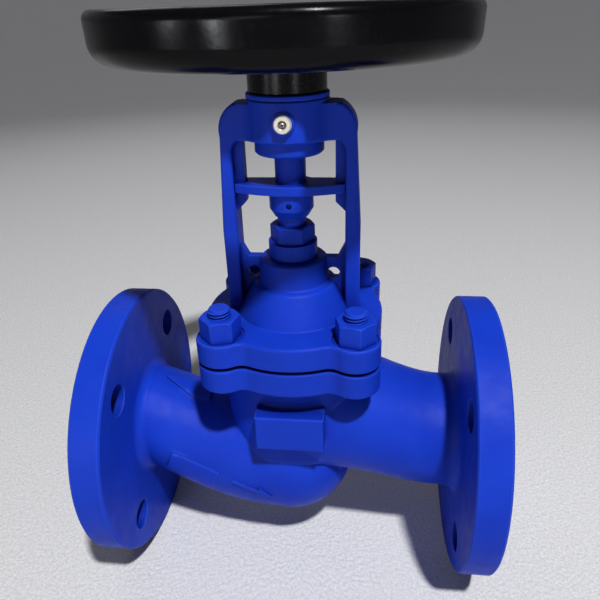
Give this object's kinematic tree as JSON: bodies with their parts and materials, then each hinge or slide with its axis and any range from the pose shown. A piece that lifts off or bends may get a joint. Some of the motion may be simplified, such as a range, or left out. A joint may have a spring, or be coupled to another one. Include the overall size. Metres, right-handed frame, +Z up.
{
  "type": "bellows seal globe valve",
  "caption": "Flanged globe stop valve sealed by a metal bellows: a handwheel on an open yoke turns a stem nut, and a guided stem lifts the disc off its seat.",
  "frame": {"origin": "on the floor that the round flanges stand on, under the stem", "axes": "+X with the flow from inlet to outlet, +Z up along the stem, -Y towards the side that the picture shows"},
  "size_m": [0.23, 0.1774, 0.3213],
  "materials": {
    "blue_paint": "matte",
    "wheel_enamel": "gloss",
    "black_oxide": "satin",
    "zinc_plate": "satin",
    "stainless": "satin",
    "brass": "satin",
    "graphite": "matte"
  },
  "bodies": {
    "valve_casting": {"valve_body": "blue_paint", "seat_ring": "stainless", "body_gasket": "graphite", "bellows_top_ring": "stainless", "bonnet_gasket": "graphite", "bonnet_yoke": "blue_paint", "bonnet_studs": "blue_paint", "bonnet_nuts": "blue_paint", "packing_base_ring": "stainless", "packing_rings": "graphite", "gland_follower": "stainless", "gland_nut": "blue_paint", "grease_nipple": "zinc_plate", "thrust_washer_lower": "stainless", "thrust_washer_upper": "stainless", "bearing_cap": "blue_paint"},
    "handwheel_group": {"stem_nut": "brass", "handwheel_sleeve": "black_oxide", "handwheel_key": "stainless", "handwheel": "wheel_enamel", "handwheel_washer": "zinc_plate", "handwheel_nut": "zinc_plate"},
    "stem_group": {"upper_stem": "blue_paint", "stem_coupling": "blue_paint", "coupling_pin": "blue_paint", "guide_plate": "blue_paint", "lower_stem": "stainless", "bellows_collar": "stainless", "bellows": "stainless", "valve_disc": "stainless", "disc_nut": "stainless"}
  },
  "joints": [
    {"name": "handwheel_turn", "type": "hinge", "parent": "valve_casting", "child": "handwheel_group", "pos_m": [0, 0, 0.285], "axis": [0, 0, 1], "range_deg": [0, 1260]},
    {"name": "stem_lift", "type": "slide", "parent": "valve_casting", "child": "stem_group", "axis": [0, 0, 1], "range_m": [0, 0.014], "deforming": ["bellows"]}
  ],
  "couplings": [
    {"joint": "stem_lift", "follows": "handwheel_turn", "m_per_rad": 0.0006366}
  ]
}
